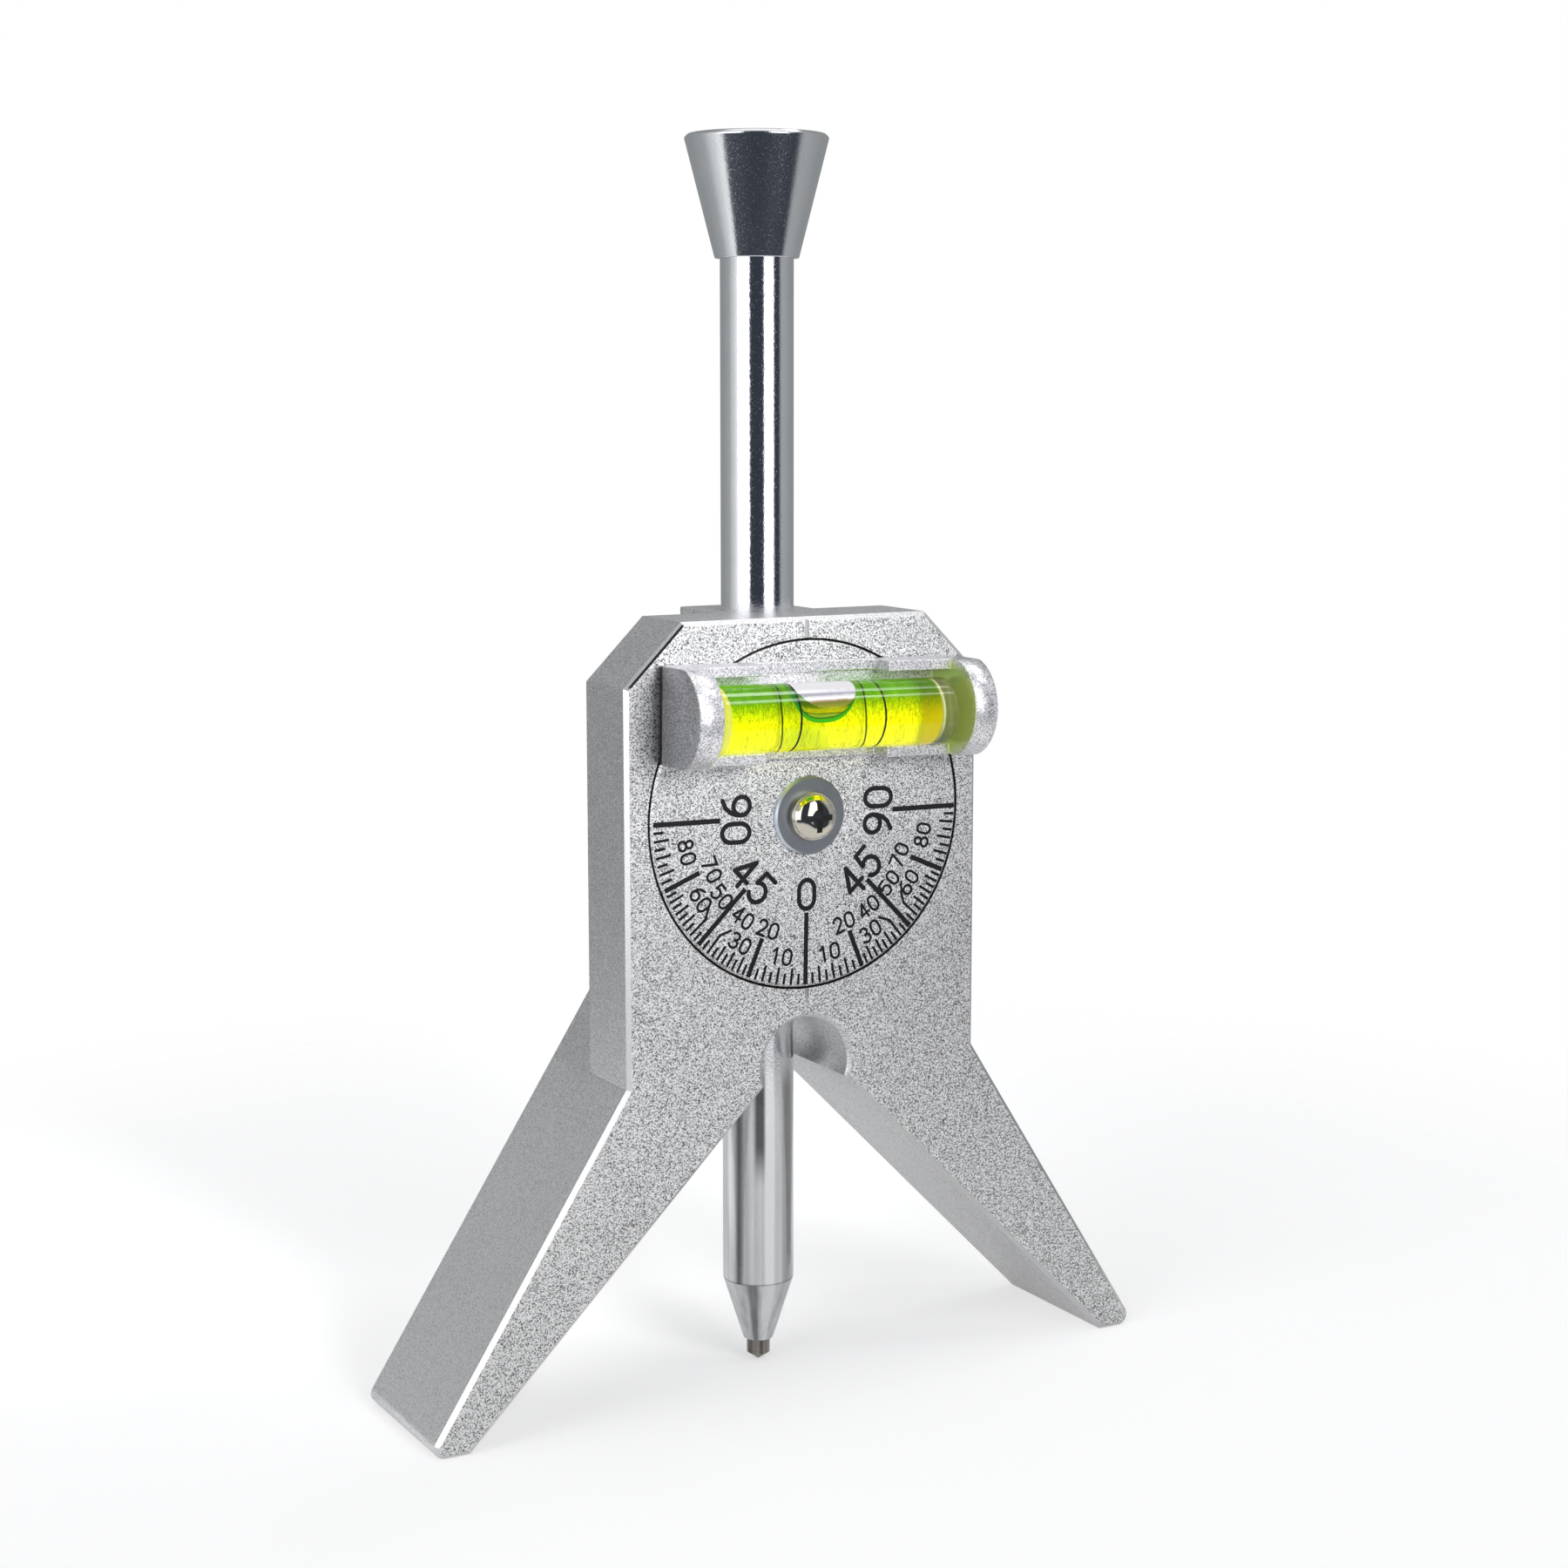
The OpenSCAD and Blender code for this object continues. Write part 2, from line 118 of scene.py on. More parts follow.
# The rings are 3.33 mm in radius inside, and the bubble passes between them and the liquid's skin
LIQUID_R, BUBBLE_TOP = 3.315, 3.324
RING_X, RING_W = 5.43, 0.2
BUBBLE_L, BUBBLE_X, BUBBLE_DROP, BUBBLE_FULL, BUBBLE_SOFT = 8, -1.4, 0.5, 2.6, 0.12

# Punch
SHANK_R = 4.25
TAPER_Z, TAPER_ROUND, NOSE_Z, NOSE_R, NOSE_ROUND = 10.5, 0.15, 2.8, 1.78, 0.08
KNOB_Z, KNOB_TOP, KNOB_NECK_R, KNOB_TOP_R, KNOB_EDGE = 131.3, 145.2, 4.85, 8.3, 0.4
NECK_ROUND, KNOB_ROUND = 0.15, 0.3
TIP_R, TIP_ROUND, POINT_H, TIP_HIDDEN = 1.39, 0.06, 0.96, 0.5
# Heights below which the punch is duller with painted reflections, and of its painted dark band
WORN_Z, SHADE_Z = 38, 24
# Painted reflections on the punch's lower end: which way is right, how bright it is, and listed
# bands: from, to (-1 is its left side and 1 its right) and how much brighter, on the shank and on
# its cone
REFLECTIONS_RIGHT = (0.874, -0.485, 0)
REFLECTIONS_BASE, REFLECTIONS_SOFT = 0.85, 0.08
SHANK_BANDS = ((-0.6, -0.45, -0.6), (0.2, 0.45, 0.5), (0.7, 0.9, -0.3))
CONE_BANDS = ((-0.3, 0, -0.5), (0.15, 0.5, 0.4))
# The painted dark reflection band that starts above the cone and how dark it is, and how dark the
# painted line at the cone is
BAND_FROM, BAND_TO, BAND_DARK, CONE_LINE_DARK = -0.08, 0.2, 0.8, 0.4

# Edges: what counts as sharp, the softening of the CAD solids' edges, and how far beside a round
# a lathed piece has its next point
SHARP = math.radians(28)
SOFT_EDGE, SOFT_STEPS, FLAT = 0.12, 2, math.radians(0.5)
BESIDE = 0.05

# Bead-blasted metal: how much of it returns light as metal, and its grain
METAL_SHARE = 0.9
GRAIN, GRAIN_RELIEF = 0.12, 0.006
CLOUD_SCALE, CLOUD_SHARE = 0.12, 0.06
FINE_SCALE, FINE_ROUGH = 1.2, 0.15
CUT_ROUGH = 0.2
# A normal's y from which a face counts as a front, and where it does in full
FRONT_FACING = (-0.75, -0.95)
# The level's light, painted on it as a tint and a glow
GLOW_TINT, GLOW = (0.50, 0.60, 0.24, 1), (0.07, 0.09, 0.03, 1)
# Painted shade: how much darker it is in the gap round the dial, the witness line, the left
# corner's bevel (a painted dark reflection), the plate's sides and the holder's ends, and painted
# light: how much brighter it is on the left leg's front and side
GAP_DARK, WITNESS_DARK, CORNER_DARK, SIDE_DARK, END_DARK = 0.95, 0.12, 0.93, 0.11, 0.25
LEG_FROM, LEG_TO, LEG_LIGHT, LEG_SIDE_LIGHT = -20, -34, 0.16, 0.10
# Width of the painted shade in the gap round the dial
GAP_LINE = 0.25
# The painted shadow line at the foot of the holder's ends: how deep it is, and how much darker
# still
FOOT_LINE, FOOT_DARK = 0.95, 0.70
# How much brighter the painted highlight along the left of the washer's rim is
RIM_HIGHLIGHT = 1.6

# Polished metal: fine specks and slow changes
SPECK_SCALE, SPECK_FROM, SPECK_TO = 5.0, 0.56, 0.7
SLOW_SCALE = 0.3
WORN_FADE = 8.0
STREAK_SCALE, STREAK_STRETCH = 1.1, (1, 1, 0.02)

# Haze on the clear tube: its scale, where it starts and is full, and how rough it is
HAZE_SCALE, HAZE_FROM, HAZE_TO, HAZE_ROUGH = 1.2, 0.62, 0.8, 0.02

# Level's colours
LIQUID_YELLOW, LIQUID_GREEN = (0.96, 0.95, 0.04, 1), (0.13, 0.38, 0.06, 1)
LIQUID_BACK = (0.93, 0.94, 0.05, 1)
LIQUID_FADE, LIQUID_SPECKS = (-0.7, 2.6), 2.4
# The liquid's painted glow where light enters and leaves it, how much of that the rings' painted
# shadow takes, and how much of it mirrors see
ENTER_GLOW, LEAVE_GLOW = (0.3, 1, 0.1, 1), (0.95, 0.93, 0.01, 1)
ENTERING, LEAVING, RING_STOPS, MIRRORED = 0.03, 0.47, 0.42, 0.3
# The liquid's ends and the plug: their roughness and painted glow, and the plug's share of opaque
# skin
END_ROUGH, END_GLOW = 0.3, 0.45
PLUG_TINT, PLUG_TINT_2 = (0.66, 0.70, 0.14, 1), (0.52, 0.60, 0.16, 1)
PLUG_SKIN, PLUG_SKIN_ROUGH = (0.66, 0.68, 0.34, 1), 0.2
PLUG_GLOW, PLUG_GLOW_POWER = (0.50, 0.52, 0.16, 1), 0.1
PLUG_SHARE, PLUG_INNER_SHARE = 0.06, 0.2
# The bubble's painted glow, its painted rim and its painted dark outline, each with where it lies
# by how the surface faces
BUBBLE_GLOW = 0.95
BUBBLE_RIM, BUBBLE_OUTLINE = (0.07, 0.58, 0.28, 1), (0.04, 0.20, 0.05, 1)
RIM_FACING, OUTLINE_FACING, RIM_TOP = (0.58, 0.66), (0.57, 0.63), (2.0, 2.6)
# The bubble's bands of painted light and shade, by their height in the tube
BUBBLE_BANDS = (
    (-0.5, (0.04, 0.45, 0.30)), (-0.2, (0.08, 0.52, 0.35)), (-0.05, (0.38, 0.55, 0.60)),
    (0.6, (0.48, 0.60, 0.60)), (0.75, (0.05, 0.20, 0.02)), (0.85, (0.98, 0.80, 0.03)),
    (1.25, (0.95, 0.80, 0.02)), (1.4, (0.40, 0.42, 0.04)), (1.9, (0.24, 0.26, 0.05)),
    (2.1, (0.55, 0.36, 0.22)), (2.25, (0.95, 0.93, 0.95)), (2.5, (0.93, 0.92, 0.97)),
    (2.65, (0.52, 0.49, 0.60)), (2.9, (0.55, 0.52, 0.62)), (3.05, (0.93, 0.90, 0.97)),
    (3.7, (0.93, 0.91, 0.96)),
)

TO_DIAL = (Matrix.Translation((0, FRONT_Y, DIAL_Z))
           @ Matrix.Rotation(math.radians(DIAL_TURN), 4, "Y"))
# From a lathe's axis, along z, to the level's tube
TO_TUBE = (TO_DIAL @ Matrix.Translation((0, TUBE_Y, TUBE_Z))
           @ Matrix.Rotation(math.radians(90), 4, "Y"))


# Nodes

def node(tree, kind, inputs=None, **settings):
    """A shader node, with its inputs linked or set."""
    n = tree.nodes.new("ShaderNode" + kind)
    for name, value in settings.items():
        setattr(n, name, value)
    for key, value in (inputs or {}).items():
        if isinstance(value, bpy.types.NodeSocket):
            tree.links.new(value, n.inputs[key])
        else:
            n.inputs[key].default_value = value
    return n


def maths(tree, operation, *values):
    return node(tree, "Math", dict(enumerate(values)), operation=operation).outputs[0]


def times(tree, first, *others):
    for other in others:
        first = maths(tree, "MULTIPLY", first, other)
    return first


def plus(tree, first, *others):
    for other in others:
        first = maths(tree, "ADD", first, other)
    return first


def on_top(tree, start, value, share):
    """start plus a share of the value."""
    return maths(tree, "MULTIPLY_ADD", value, share, start)


def rest(tree, value):
    """What is left of 1."""
    return maths(tree, "SUBTRACT", 1.0, value)


def centred(tree, value):
    return maths(tree, "SUBTRACT", value, 0.5)


def smooth(tree, value, low, high):
    """0 before low, 1 beyond high, and smooth between. low may be the greater."""
    n = node(tree, "MapRange", {0: value, 1: low, 2: high}, interpolation_type="SMOOTHSTEP")
    return n.outputs[0]


def between(tree, value, low, high, soft):
    """1 from low to high and 0 beyond, with soft ends."""
    falling = smooth(tree, value, high - soft, high + soft)
    return times(tree, smooth(tree, value, low - soft, low + soft), rest(tree, falling))


def xyz(tree, vector):
    return node(tree, "SeparateXYZ", {0: vector}).outputs


def vectors(tree, operation, *values):
    return node(tree, "VectorMath", dict(enumerate(values)), operation=operation).outputs


def tinted(tree, colour, level):
    """The colour, brighter or darker."""
    return node(tree, "VectorMath", {0: colour, 3: level}, operation="SCALE").outputs[0]


def blend_colour(tree, share, a, b):
    return node(tree, "Mix", {0: share, 6: a, 7: b}, data_type="RGBA").outputs[2]


def stripes(tree, value, stops):
    """Colours at given values, blended between."""
    low, high = stops[0][0], stops[-1][0]
    share = node(tree, "MapRange", {0: value, 1: low, 2: high}).outputs[0]
    n = node(tree, "ValToRGB", {0: share})
    cells = n.color_ramp.elements
    for at, _ in stops[1:-1]:
        cells.new((at - low) / (high - low))
    for cell, (at, colour) in zip(cells, stops):
        cell.position = (at - low) / (high - low)
        cell.color = (*colour, 1)
    return n.outputs[0]


def material(name):
    m = bpy.data.materials.new(name)
    m.use_nodes = True
    m.node_tree.nodes.clear()
    return m, m.node_tree, node(m.node_tree, "OutputMaterial")


def place(tree):
    """Coordinates that stay on the piece, in millimetres."""
    return tinted(tree, node(tree, "TexCoord").outputs["Object"], 1 / MM)


def noise(tree, where, scale, detail=2.0, rough=0.5):
    inputs = {"Vector": where, "Scale": scale, "Detail": detail, "Roughness": rough}
    return node(tree, "TexNoise", inputs).outputs[0]


def bump(tree, height, distance):
    return node(tree, "Bump", {"Height": height, "Distance": distance * MM}).outputs[0]


def mixed(tree, share, a, b):
    """Two shaders, with that share of the second."""
    return node(tree, "MixShader", {0: share, 1: a.outputs[0], 2: b.outputs[0]})


# Places on the pieces

def along_tube(t, where):
    """Distance along the tube from its middle."""
    off = vectors(t, "SUBTRACT", where, (0, 0, DIAL_Z))[0]
    return vectors(t, "DOT_PRODUCT", off, TO_DIAL.to_3x3() @ Vector((1, 0, 0)))[1]


def tube_height(t, where):
    """Height above the middle of the tube."""
    return maths(t, "SUBTRACT", xyz(t, where)[2], DIAL_Z + TUBE_Z)


def from_axis(t, where, centre, scale):
    """Distance from a line along the axis whose scale is 0."""
    off = vectors(t, "SUBTRACT", where, centre)[0]
    return vectors(t, "LENGTH", vectors(t, "MULTIPLY", off, scale)[0])[1]


def from_dial(t, where):
    """Distance from the axis that the dial turns on."""
    return from_axis(t, where, (0, 0, DIAL_Z), (1, 0, 1))


# Shades, most of them painted light and shade: each is a factor for a material's colour

def head_shade(t, where):
    """Painted shade: dark in the gap round the dial and a painted dark reflection on the left
    corner's bevel, a little darker in the witness line and on the plate's sides; and painted light:
    a little brighter on the left leg."""
    x, y, z = xyz(t, where)
    gap = times(t, between(t, from_dial(t, where), DIAL_R, DIAL_R + GAP_LINE, 0.02),
                between(t, y, FRONT_Y - 0.2, FRONT_Y + RECESS_DEEP, 0.07))
    line = times(t, between(t, x, -WITNESS_W / 2, WITNESS_W / 2, 0.01),
                 between(t, y, FRONT_Y + 0.06, FRONT_Y + 0.3, 0.04))
    corner = times(t, between(t, y, FRONT_Y + 0.02, FRONT_Y + BEVEL / 2, 0.02),
                   smooth(t, x, CORNER_X + 0.1, CORNER_X - 0.1),
                   smooth(t, z, CORNER_Z - 0.1, CORNER_Z + 0.1))
    side = times(t, smooth(t, maths(t, "ABSOLUTE", x), PLATE_HW - 0.1, PLATE_HW - 0.02),
                 smooth(t, z, SHOULDER_Z, SHOULDER_Z + 0.3))
    dark = plus(t, times(t, gap, GAP_DARK), times(t, line, WITNESS_DARK),
                times(t, corner, CORNER_DARK), times(t, side, SIDE_DARK))
    leg = smooth(t, x, LEG_FROM, LEG_TO)
    leg_side = times(t, smooth(t, x, -PLATE_HW, -PLATE_HW - 0.4),
                     smooth(t, y, FRONT_Y + BEVEL, FRONT_Y + BEVEL + 0.2))
    light = on_top(t, on_top(t, 1.0, leg, LEG_LIGHT), leg_side, LEG_SIDE_LIGHT)
    return times(t, light, rest(t, maths(t, "MINIMUM", dark, 1.0)))


def head_bevel(t, where):
    """1 on the head's front bevels, which lie just behind its front, but for the arch's."""
    x, y, z = xyz(t, where)
    arch = times(t, between(t, x, -ARCH_HW, ARCH_HW, 0.5), between(t, z, ARCH_LOW, ARCH_HIGH, 0.5))
    return times(t, between(t, y, FRONT_Y + 0.03, FRONT_Y + BEVEL - 0.01, 0.01), rest(t, arch))


def rim_shade(t, where):
    """Painted shade on the side of the dial, inside its gap."""
    rim = smooth(t, from_dial(t, where), DIAL_R - 0.06, DIAL_R - 0.01)
    return on_top(t, 1.0, rim, -GAP_DARK)


def washer_highlight(t, where):
    """A painted highlight along the left of the washer's rim."""
    rim = smooth(t, from_dial(t, where), WASHER_R - 0.3, WASHER_R - 0.2)
    return on_top(t, 1.0, times(t, smooth(t, xyz(t, where)[0], -0.5, -3), rim), RIM_HIGHLIGHT)


def holder_shade(t, where):
    """Painted shade: the ends of the holder are a little darker, with a painted shadow line where
    they meet the plate.
    """
    end = smooth(t, maths(t, "ABSOLUTE", along_tube(t, where)), HOLDER_HW - 0.12, HOLDER_HW - 0.03)
    line_y = FRONT_Y - FOOT_LINE
    foot = smooth(t, xyz(t, where)[1], line_y - 0.1, line_y)
    return rest(t, times(t, end, on_top(t, END_DARK, foot, FOOT_DARK)))


def level_glow(t, where):
    """1 on the inner faces of the holder's ends, where the liquid's light is painted on."""
    away = from_axis(t, where, (0, FRONT_Y + TUBE_Y, DIAL_Z + TUBE_Z), (0, 1, 1))
    inner = between(t, maths(t, "ABSOLUTE", along_tube(t, where)),
                    INNER_HW - 0.3, INNER_HW + 0.3, 0.03)
    return times(t, rest(t, smooth(t, away, TUBE_R + 0.5, TUBE_R + 2.4)), inner)


def painted_reflections(t, where):
    """Painted reflections: light and dark bands along the lower end of the punch, with a fine
    painted dark line at its cone.
    """
    z = xyz(t, where)[2]
    flat = vectors(t, "NORMALIZE", vectors(t, "MULTIPLY", where, (1, 1, 0))[0])[0]
    across = vectors(t, "DOT_PRODUCT", flat, REFLECTIONS_RIGHT)[1]
    rows = []
    for bands in (SHANK_BANDS, CONE_BANDS):
        row = REFLECTIONS_BASE
        for left, right, more in bands:
            row = on_top(t, row, between(t, across, left, right, REFLECTIONS_SOFT), more)
        rows.append(row)
    shank, cone = rows
    above = smooth(t, z, TAPER_Z - 0.1, TAPER_Z)
    level = node(t, "Mix", {0: above, 2: cone, 3: shank}).outputs[0]
    dark = times(t, between(t, across, BAND_FROM, BAND_TO, 0.07),
                 smooth(t, z, SHADE_Z - 2, SHADE_Z + 4))
    line = between(t, z, TAPER_Z - 0.1, TAPER_Z + 0.1, 0.06)
    level = times(t, level, on_top(t, 1.0, dark, -BAND_DARK), on_top(t, 1.0, line, -CONE_LINE_DARK))
    # No painted reflections above the worn end
    unpainted = smooth(t, z, WORN_Z - 4, WORN_Z)
    return node(t, "Mix", {0: unpainted, 2: level, 3: 1.0}).outputs[0]


# Materials

def blasted(name, colour, contrast, rough=0.4, calm=1.0, shade=None, cut=None, glow=None):
    """Bead-blasted, anodised aluminium: a fine sparkling grain with slow cloudy changes.

    calm is the grain's share on all sides but the front. The last three work from the tree and
    the coordinates: shade is a factor for the colour that paints light and shade, cut is 1 on
    bevels that were cut bright after blasting, and glow is the share of the level's light
    painted on it."""
    m, t, out = material(name)
    where = place(t)
    cells = node(t, "TexVoronoi", {"Vector": where, "Scale": 1 / GRAIN})
    glint = centred(t, node(t, "SeparateColor", {0: cells.outputs["Color"]}).outputs[0])
    fine = centred(t, noise(t, where, FINE_SCALE / GRAIN, 3))
    cloud = centred(t, noise(t, where, CLOUD_SCALE))
    front = smooth(t, xyz(t, node(t, "TexCoord").outputs["Normal"])[1], *FRONT_FACING)
    contrast = times(t, on_top(t, calm, front, 1 - calm), contrast)
    level = on_top(t, times(t, plus(t, glint, fine), contrast), cloud, CLOUD_SHARE)
    roughness = on_top(t, rough, fine, FINE_ROUGH)
    if cut:
        bright = cut(t, where)
        level = times(t, level, rest(t, bright))
        roughness = on_top(t, roughness, bright, CUT_ROUGH - rough)
    level = plus(t, level, 1.0)
    if shade:
        level = times(t, level, shade(t, where))
    tint = tinted(t, colour, level)
    p = node(t, "BsdfPrincipled", {
        "Metallic": METAL_SHARE, "Roughness": roughness,
        "Normal": bump(t, noise(t, where, 1 / GRAIN, 3, 0.6), GRAIN_RELIEF),
    })
    # The level's light, painted on as a tint and a glow
    if glow:
        near = glow(t, where)
        tint = blend_colour(t, near, tint, GLOW_TINT)
        t.links.new(blend_colour(t, near, (0, 0, 0, 1), GLOW), p.inputs["Emission Color"])
        p.inputs["Emission Strength"].default_value = 1.0
    t.links.new(tint, p.inputs["Base Color"])
    t.links.new(p.outputs[0], out.inputs[0])
    return m


def polished(name, colour, rough, size=0.6, speckle=0.0, relief=0.012, tone=0.05, worn=None,
             shade=None):
    """Ground and plated metal, with a faint orange peel of that size and relief, and fine specks.

    speckle is how much rougher the specks are, and tone how much the colour changes. worn is a
    height below which it is duller and streaked, how much duller, and how streaked. shade works
    from the tree and the coordinates."""
    m, t, out = material(name)
    where = place(t)
    peel = noise(t, where, 1 / size, 3, 0.6)
    specks = smooth(t, noise(t, where, SPECK_SCALE, 4, 0.7), SPECK_FROM, SPECK_TO)
    level = on_top(t, 1.0, centred(t, noise(t, where, SLOW_SCALE)), tone)
    level = on_top(t, level, specks, -tone)
    roughness = on_top(t, rough, specks, speckle)
    if worn:
        height, duller, streaked = worn
        dull = smooth(t, xyz(t, where)[2], height, height - WORN_FADE)
        roughness = on_top(t, roughness, dull, duller)
        drawn = vectors(t, "MULTIPLY", where, STREAK_STRETCH)[0]
        streak = centred(t, noise(t, drawn, STREAK_SCALE))
        level = on_top(t, level, times(t, streak, dull), streaked)
    if shade:
        level = times(t, level, shade(t, where))
    p = node(t, "BsdfPrincipled", {
        "Base Color": tinted(t, colour, level), "Metallic": 1.0, "Roughness": roughness,
        "Normal": bump(t, peel, relief),
    })
    t.links.new(p.outputs[0], out.inputs[0])
    return m


def matt(name, colour, rough, size=0.4, tone=0.15, shine=0.5):
    """Paint, nylon or rubber with a faint grain."""
    m, t, out = material(name)
    grain = noise(t, place(t), 1 / size, 3)
    p = node(t, "BsdfPrincipled", {
        "Base Color": tinted(t, colour, on_top(t, 1 - tone / 2, grain, tone)), "Roughness": rough,
        "Specular IOR Level": shine, "Normal": bump(t, grain, 0.01),
    })
    t.links.new(p.outputs[0], out.inputs[0])
    return m


def clear(name, colour, ior):
    """Clear moulded plastic with faint hazy patches. Light from the lamps and from matt surfaces
    passes it straight, tinted."""
    m, t, out = material(name)
    haze = smooth(t, noise(t, place(t), HAZE_SCALE, 4, 0.6), HAZE_FROM, HAZE_TO)
    p = node(t, "BsdfPrincipled", {
        "Base Color": colour, "Roughness": times(t, haze, HAZE_ROUGH), "IOR": ior,
        "Transmission Weight": 1.0,
    })
    path = node(t, "LightPath")
    share = maths(t, "MAXIMUM", path.outputs["Is Shadow Ray"], path.outputs["Is Diffuse Ray"])
    both = mixed(t, share, p, node(t, "BsdfTransparent", {0: colour}))
    t.links.new(both.outputs[0], out.inputs[0])
    return m


def liquid():
    """Dyed yellow liquid, tinted darker green near the top of the level on the faces where rays
    enter it. It bends no light itself, because the tube round it is filled and does so for both.
    Where light leaves it, and faintly where it enters, it glows with painted light."""
    m, t, out = material("level_liquid")
    where = place(t)
    specks = centred(t, noise(t, where, SPECK_SCALE, 3, 0.7))
    green = smooth(t, on_top(t, tube_height(t, where), specks, LIQUID_SPECKS), *LIQUID_FADE)
    leaves = node(t, "NewGeometry").outputs["Backfacing"]
    tint = blend_colour(t, leaves, blend_colour(t, green, LIQUID_YELLOW, LIQUID_GREEN), LIQUID_BACK)
    path = node(t, "LightPath").outputs
    seen = plus(t, path["Is Camera Ray"], path["Is Transmission Ray"])
    seen = maths(t, "MINIMUM", on_top(t, seen, path["Is Glossy Ray"], MIRRORED), 1.0)
    # The rings behind the liquid cast a painted shadow in its glow
    ring = between(t, maths(t, "ABSOLUTE", along_tube(t, where)),
                   RING_X - RING_W / 2, RING_X + RING_W / 2, 0.03)
    strength = on_top(t, ENTERING, leaves, on_top(t, LEAVING, ring, -RING_STOPS))
    glow = node(t, "Emission", {0: blend_colour(t, leaves, ENTER_GLOW, LEAVE_GLOW),
                                1: times(t, seen, strength)})
    both = node(t, "AddShader", {0: node(t, "BsdfTransparent", {0: tint}).outputs[0],
                                 1: glow.outputs[0]})
    t.links.new(both.outputs[0], out.inputs[0])
    return m


def end_face(name, pale, strong, share):
    """An end of the liquid: a share of skin with a painted glow on what is clear."""
    m, t, out = material(name)
    tint = blend_colour(t, noise(t, place(t), 1.5, 3), pale, strong)
    p = node(t, "BsdfPrincipled", {
        "Base Color": tint, "Roughness": END_ROUGH,
        "Emission Color": tint, "Emission Strength": END_GLOW,
    })
    both = mixed(t, share, node(t, "BsdfTransparent", {0: strong}), p)
    t.links.new(both.outputs[0], out.inputs[0])
    return m


def plug_plastic():
    """The tube's plug: clear amber plastic, with more of its skin near its inner end, and a faint
    painted glow in its skin.
    """
    m, t, out = material("level_plug")
    where = place(t)
    tint = blend_colour(t, noise(t, where, 0.8), PLUG_TINT, PLUG_TINT_2)
    solid = node(t, "BsdfPrincipled", {
        "Base Color": PLUG_SKIN, "Roughness": PLUG_SKIN_ROUGH,
        "Emission Color": PLUG_GLOW, "Emission Strength": PLUG_GLOW_POWER,
    })
    inner = smooth(t, along_tube(t, where), CHAMBER_RIGHT + 0.45, CHAMBER_RIGHT + 0.25)
    share = on_top(t, PLUG_SHARE, inner, PLUG_INNER_SHARE)
    both = mixed(t, share, node(t, "BsdfTransparent", {0: tint}), solid)
    t.links.new(both.outputs[0], out.inputs[0])
    return m


def air():
    """The bubble, painted as it looks in its liquid and glowing: bright bands of painted reflection
    above, dark and yellow ones in the middle, and a painted green rim and dark outline."""
    m, t, out = material("level_air")
    where = place(t)
    height = on_top(t, tube_height(t, where), noise(t, where, 1.5, 3), 0.25)
    facing = node(t, "LayerWeight", {0: 0.5}).outputs["Facing"]
    rim = times(t, smooth(t, facing, *RIM_FACING), rest(t, smooth(t, height, *RIM_TOP)))
    colour = blend_colour(t, rim, stripes(t, height, BUBBLE_BANDS), BUBBLE_RIM)
    colour = blend_colour(t, between(t, facing, *OUTLINE_FACING, 0.03), colour, BUBBLE_OUTLINE)
    glow = node(t, "Emission", {0: colour, 1: BUBBLE_GLOW})
    t.links.new(glow.outputs[0], out.inputs[0])
    return m


# Meshes

def mesh_piece(name, bm, where, materials, body, slot, *nodes):
    """Makes a piece of a mesh in millimetres, which rides on a body and stands for the nodes."""
    bm.transform(Matrix.Scale(MM, 4) @ where)
    for f in bm.faces:
        f.smooth = True
    for e in bm.edges:
        e.smooth = len(e.link_faces) == 2 and e.calc_face_angle(math.pi) < SHARP
    mesh = bpy.data.meshes.new(name)
    bm.to_mesh(mesh)
    bm.free()
    for m in materials:
        mesh.materials.append(m)
    obj = bpy.data.objects.new(name, mesh)
    bpy.context.collection.objects.link(obj)
    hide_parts(*nodes)
    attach(obj, body)


def rounded(points, radii, steps=6):
    """A profile with its corners rounded to the given radii, and a point beside each round, which
    keeps the long faces next to it from shading as if they were bent."""
    out = []
    for i, (p, r) in enumerate(zip(points, radii)):
        if not r or i in (0, len(points) - 1):
            out.append(p)
            continue
        p = Vector(p)
        a = (Vector(points[i - 1]) - p).normalized()
        b = (Vector(points[i + 1]) - p).normalized()
        half = a.angle(b) / 2
        centre = p + (a + b).normalized() * (r / math.sin(half))
        start = p + a * (r / math.tan(half)) - centre
        end = p + b * (r / math.tan(half)) - centre
        turn = start.angle_signed(end)
        out.append(tuple(centre + start + a * BESIDE))
        for k in range(steps + 1):
            v = start.copy()
            v.rotate(Matrix.Rotation(-turn * k / steps, 2))
            out.append(tuple(centre + v))
        out.append(tuple(centre + end + b * BESIDE))
    return out


def skin(bm, rings, around):
    """Faces between rings of vertices, each of which may be a single one."""
    for low, high in zip(rings, rings[1:]):
        for i in range(around):
            j = (i + 1) % around
            face = []
            for v in (low[i % len(low)], low[j % len(low)],
                      high[j % len(high)], high[i % len(high)]):
                if v not in face:
                    face.append(v)
            if len(face) > 2:
                bm.faces.new(face)
    bmesh.ops.recalc_face_normals(bm, faces=bm.faces)


def lathe(profile, segments=160):
    """Turns a profile of (radius, height) about the z axis, closed where it meets the axis."""
    bm = bmesh.new()
    rings = []
    for r, h in profile:
        turns = [math.tau * i / segments for i in range(segments if r > TINY else 1)]
        rings.append([bm.verts.new((r * math.cos(a), r * math.sin(a), h)) for a in turns])
    skin(bm, rings, segments)
    return bm


# The dial's face

def circle(r, count, x=0.0, y=0.0):
    return [Vector((x + r * math.cos(math.tau * i / count), y + r * math.sin(math.tau * i / count)))
            for i in range(count)]


